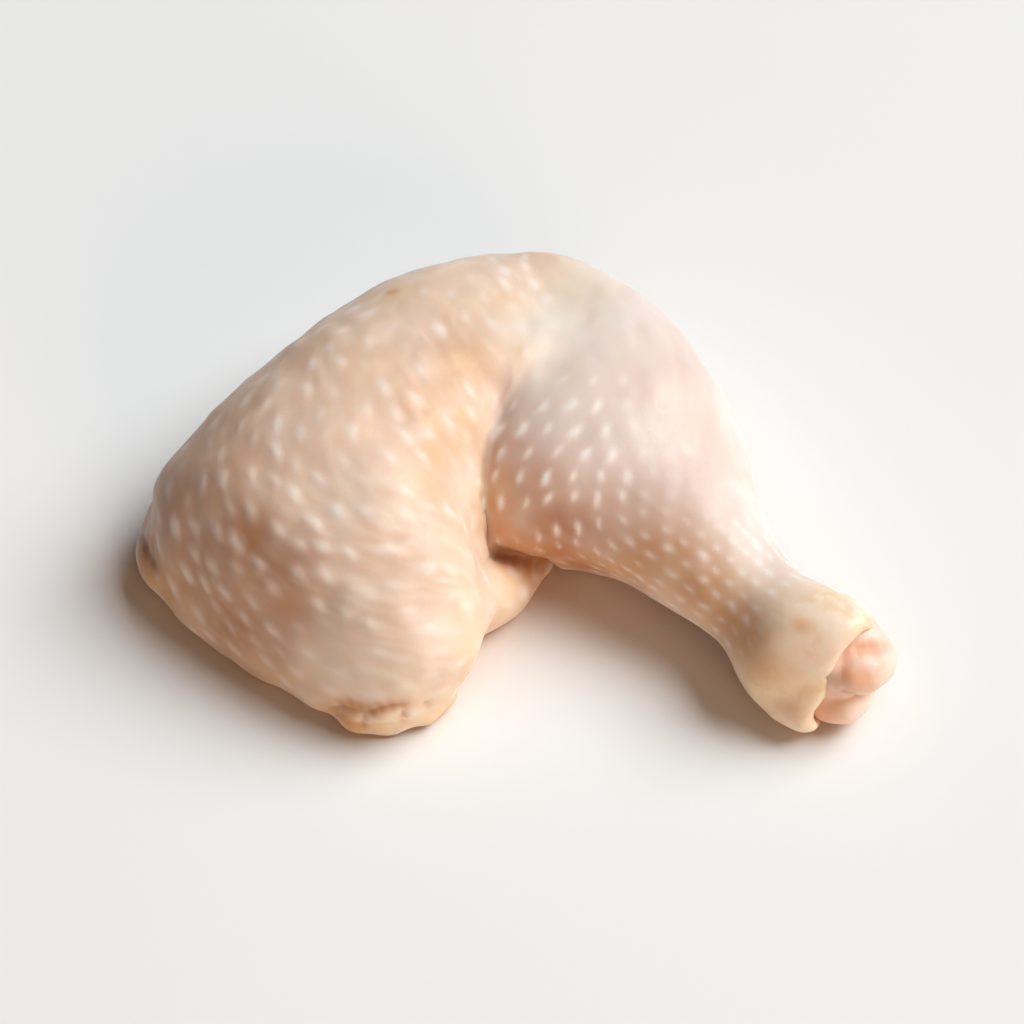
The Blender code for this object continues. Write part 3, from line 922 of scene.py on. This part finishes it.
# The amber skin tint also paints shade.
AMBER_SKIN_AND_SHADE = (0.62, 0.29, 0.10)
PINK_TISSUE = (0.88, 0.62, 0.48)
FOLLICLE_PALE = (0.93, 0.82, 0.74)
FOLLICLE_TIP = (0.96, 0.90, 0.85)
CREASE_SHADE = (0.34, 0.11, 0.035)

# The cartilage's colours.
CARTILAGE = (0.81, 0.53, 0.41), (0.87, 0.65, 0.53)
# The ridge cream also paints light, the hollow orange shade.
RIDGE_CREAM_AND_LIGHT = (0.94, 0.78, 0.67)
HOLLOW_ORANGE_AND_SHADE = (0.92, 0.50, 0.28)
GROOVE_SHADE = (0.62, 0.26, 0.11)

# The table's, and the warm shadow painted on it close by the leg.
TABLE = (0.855, 0.87, 0.86), (0.875, 0.89, 0.88)
TABLE_PAINTED_SHADOW = (0.62, 0.40, 0.28)


class Finish:
    """A material under construction, with short ways to place its nodes."""

    def __init__(self, name):
        self.material = bpy.data.materials.new(name)
        self.material.use_nodes = True
        self.setup(self.material.node_tree)
        self.shader = self.nodes["Principled BSDF"]

    def setup(self, tree):
        self.nodes, self.links = tree.nodes, tree.links

    def link(self, source, target):
        self.links.new(source, target)

    def fill(self, socket, value):
        """Gives a node's socket a number or a colour, or links it to what makes one."""
        if isinstance(value, bpy.types.NodeSocket):
            self.link(value, socket)
        else:
            socket.default_value = (*value, 1) if isinstance(value, tuple) else value

    def set(self, values):
        """Sets what is the same all over, on the shader's own sockets."""
        for name, value in values.items():
            self.shader.inputs[name].default_value = value

    def node(self, kind, sockets, **settings):
        """The outputs of a new node with these settings and these sockets filled."""
        node = self.nodes.new(kind)
        for name, value in settings.items():
            setattr(node, name, value)
        for name, value in sockets.items():
            self.fill(node.inputs[name], value)
        return node.outputs

    def attribute(self, name):
        return self.node("ShaderNodeAttribute", {}, attribute_name=name)["Fac"]

    def place(self):
        return self.node("ShaderNodeTexCoord", {})["Object"]

    def noise(self, place, scale, detail, roughness=0.5, distortion=0.0):
        return self.node("ShaderNodeTexNoise", {
            "Vector": place, "Scale": scale, "Detail": detail, "Roughness": roughness,
            "Distortion": distortion})["Fac"]

    def between(self, value, low, high, to_low=0.0, to_high=1.0):
        """The value's place between low and high, eased."""
        return self.node("ShaderNodeMapRange", {
            "Value": value, "From Min": low, "From Max": high, "To Min": to_low,
            "To Max": to_high}, interpolation_type="SMOOTHSTEP")["Result"]

    def times(self, a, b):
        return self.node("ShaderNodeMath", {0: a, 1: b}, operation="MULTIPLY")["Value"]

    def mix(self, a, b, share):
        """Colour a going over to colour b."""
        return self.node("ShaderNodeMix", {0: share, 6: a, 7: b}, data_type="RGBA")[2]

    def lay(self, colour, tint, name, strength):
        """The colour with a tint laid over it where the skin is marked with that name."""
        return self.mix(colour, tint, self.times(self.attribute(name), strength))

    def bump(self, height, distance, strength):
        return self.node("ShaderNodeBump", {"Height": height, "Distance": distance,
                                            "Strength": strength})["Normal"]


class Effect(Finish):
    """A node group that more than one finish uses. It is given a place and some numbers."""

    def __init__(self, name, numbers, results):
        self.tree = bpy.data.node_groups.new(name, "ShaderNodeTree")
        sockets = self.tree.interface
        sockets.new_socket("Place", in_out="INPUT", socket_type="NodeSocketVector")
        for label, value in numbers.items():
            socket = sockets.new_socket(label, in_out="INPUT", socket_type="NodeSocketFloat")
            socket.default_value = value
        for label in results:
            sockets.new_socket(label, in_out="OUTPUT", socket_type="NodeSocketFloat")
        self.setup(self.tree)
        self.given = self.nodes.new("NodeGroupInput").outputs
        self.result = self.nodes.new("NodeGroupOutput").inputs

    def placed_in(self, finish, sockets):
        """Places the group in a finish, with that finish's own values."""
        return finish.node("ShaderNodeGroup", sockets, node_tree=self.tree)


def make_moist_flesh():
    """Blotches of tone and the finest wrinkling of anything moist and raw."""
    effect = Effect("moist flesh", {"Blotches": 90.0, "Wrinkles": 900.0},
                    ("Tone", "Height", "Wetness"))
    place = effect.given["Place"]
    tone = effect.noise(place, effect.given["Blotches"], detail=4, distortion=0.6)
    wrinkles = effect.noise(place, effect.given["Wrinkles"], detail=3, distortion=1.2)
    effect.link(effect.between(tone, 0.3, 0.7), effect.result["Tone"])
    effect.link(wrinkles, effect.result["Height"])
    effect.link(effect.between(wrinkles, 0.35, 0.65), effect.result["Wetness"])
    return effect


def skin_finish(moist):
    """Raw chicken skin: creamy over the thigh's fat, mauve where flesh shows through, with
    painted shade and painted light.
    """
    f = Finish("raw_skin")
    place = f.place()
    flesh = moist.placed_in(f, {"Place": place, "Blotches": 90.0, "Wrinkles": 650.0})
    wide = f.between(f.noise(place, 32, 3, distortion=0.4), 0.35, 0.65)
    mottle = f.noise(place, 230, 2, distortion=0.5)

    thigh = f.mix(f.mix(*THIGH, wide), THIGH_PINK, f.times(flesh["Tone"], 0.35))
    rib = f.between(f.attribute("rib"), 0.1, -1.6, 0, 0.22)
    drumstick = f.mix(f.mix(*DRUMSTICK, wide), RIB_SHADE, rib)
    hock = f.mix(*HOCK, f.between(flesh["Tone"], 0.2, 0.9))
    hock = f.mix(hock, HOCK_CREAM, f.between(mottle, 0.5, 0.7, 0.0, 0.8))
    colour = f.mix(thigh, drumstick, f.attribute("drumstick"))
    colour = f.mix(colour, hock, f.attribute("hock"))
    # The fat and cream tints also lay painted light.
    colour = f.lay(colour, WHITE_FAT_AND_LIGHT, "fat", 1.0)
    colour = f.lay(colour, CREAMY_SKIN_AND_LIGHT, "cream", 1.0)
    colour = f.lay(colour, HOCK_SPOT, "hock", f.between(mottle, 0.52, 0.3, 0.0, 0.35))
    # The mauve and amber tints also lay painted shade.
    colour = f.lay(colour, MAUVE_FLESH_AND_SHADE, "mauve", 0.7)
    colour = f.lay(colour, YELLOW_FAT, "yolk", 0.5)
    colour = f.lay(colour, AMBER_SKIN_AND_SHADE, "amber", 0.75)
    colour = f.lay(colour, PINK_TISSUE, "tissue", 0.6)

    fibre = f.attribute("fibre")
    colour = f.mix(colour, FIBRE[1], f.between(fibre, 0.0, 1.6, 0.0, 0.17))
    colour = f.mix(colour, FIBRE[0], f.between(fibre, 0.0, -1.6, 0.0, 0.11))
    # The pale mark holds the follicles' pale skin and the painted highlight on the pleats'
    # crests.
    pale = f.between(f.attribute("pale"), 0.05, 1.0, 0.0, 0.55)
    colour = f.mix(colour, FOLLICLE_PALE, pale)
    plain = f.between(f.attribute("drumstick"), 0.2, 0.8, 0.52, 1.2)
    colour = f.lay(colour, FOLLICLE_TIP, "follicle", plain)
    colour = f.lay(colour, CREASE_SHADE, "crease", 0.85)

    f.link(colour, f.shader.inputs["Base Color"])
    f.link(f.between(flesh["Wetness"], 0, 1, 0.42, 0.56), f.shader.inputs["Roughness"])
    f.link(f.bump(flesh["Height"], 0.1 * MM, 0.35), f.shader.inputs["Normal"])
    f.set({"Subsurface Weight": 0.6, "Subsurface Radius": (1.0, 0.42, 0.24),
           "Subsurface Scale": 3.5 * MM, "IOR": 1.4,
           "Coat Weight": 0.07, "Coat Roughness": 0.28})
    return f.material


def cartilage_finish(moist):
    """The joint's cartilage: pearly pink, cream and painted light on its ridge, orange and
    painted shade in its grooves.
    """
    f = Finish("wet_cartilage")
    flesh = moist.placed_in(f, {"Place": f.place(), "Blotches": 160.0, "Wrinkles": 700.0})
    colour = f.mix(*CARTILAGE, flesh["Tone"])
    # The cream also lays painted light, the orange painted shade.
    colour = f.lay(colour, RIDGE_CREAM_AND_LIGHT, "cream", 0.9)
    colour = f.lay(colour, HOLLOW_ORANGE_AND_SHADE, "orange", 0.8)
    colour = f.lay(colour, GROOVE_SHADE, "groove", 0.6)

    f.link(colour, f.shader.inputs["Base Color"])
    f.link(f.between(flesh["Wetness"], 0, 1, 0.42, 0.56), f.shader.inputs["Roughness"])
    f.link(f.bump(flesh["Height"], 0.2 * MM, 0.4), f.shader.inputs["Normal"])
    f.set({"Subsurface Weight": 0.5, "Subsurface Radius": (1.0, 0.5, 0.35),
           "Subsurface Scale": 3 * MM, "Coat Weight": 0.07, "Coat Roughness": 0.2})
    return f.material


def table_finish():
    """The pale table, with a warm shadow painted on it close to the leg."""
    f = Finish("pale_table")
    tone = f.noise(f.place(), 6, 2, roughness=0.55)
    open_sky = f.node("ShaderNodeAmbientOcclusion", {"Distance": 42 * MM}, samples=4)["AO"]
    # A warm shadow is painted on the table where the leg stands close.
    colour = f.mix(TABLE_PAINTED_SHADOW, f.mix(*TABLE, tone), f.between(open_sky, -0.25, 0.85))
    f.link(colour, f.shader.inputs["Base Color"])
    f.set({"Roughness": 0.7})
    return f.material


# ---- the studio ----

def make_table():
    """A wide table, a hair below the leg."""
    mesh = bmesh.new()
    bmesh.ops.create_grid(mesh, x_segments=2, y_segments=2, size=4.0)
    table = new_object("table", mesh)
    table.location.z = -0.2 * MM
    table.data.materials.append(table_finish())


def make_light(name, place, size, power, colour):
    """A square light that far off in metres, turned to the leg."""
    data = bpy.data.lights.new(name, "AREA")
    data.size = size
    data.energy = power
    data.color = colour
    lamp = bpy.data.objects.new(name, data)
    lamp.location = place
    lamp.rotation_euler = (-Vector(place)).to_track_quat("-Z", "Y").to_euler()
    bpy.context.scene.collection.objects.link(lamp)


def make_studio():
    """A wide window high on the right, a warm card low in front and a dim warm room."""
    make_light("window", (5.6, 1.7, 7.0), size=6.0, power=1055.0, colour=(0.95, 1.0, 1.03))
    make_light("warm_card", (2.0, -4.0, 1.2), size=2.2, power=80.0, colour=(1.0, 0.70, 0.48))
    world = bpy.data.worlds.new("studio")
    world.use_nodes = True
    sky = world.node_tree.nodes["Background"]
    sky.inputs["Color"].default_value = (1.0, 0.45, 0.25, 1)
    sky.inputs["Strength"].default_value = 0.075
    bpy.context.scene.world = world
    bpy.context.scene.view_settings.view_transform = "Standard"


def make_camera():
    """The camera that takes the picture, above and in front of the leg."""
    data = bpy.data.cameras.new("camera")
    data.lens = LENS
    data.sensor_width = SENSOR
    data.clip_start = 0.01
    camera = bpy.data.objects.new("camera", data)
    turn = Matrix((RIGHT, UP, -AHEAD)).transposed().to_4x4()
    camera.matrix_world = Matrix.Translation(CAMERA_PLACE * MM) @ turn
    bpy.context.scene.collection.objects.link(camera)
    bpy.context.scene.camera = camera


def main():
    """Makes the leg, its table, lights and camera."""
    make_camera()
    moist = make_moist_flesh()

    skin = make_skin()
    skin.data.materials.append(skin_finish(moist))
    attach(skin, "root")
    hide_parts("leg")

    knuckles = make_knuckles()
    knuckles.data.materials.append(cartilage_finish(moist))
    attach(knuckles, "root")
    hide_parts("shank_bone")

    make_table()
    make_studio()


main()
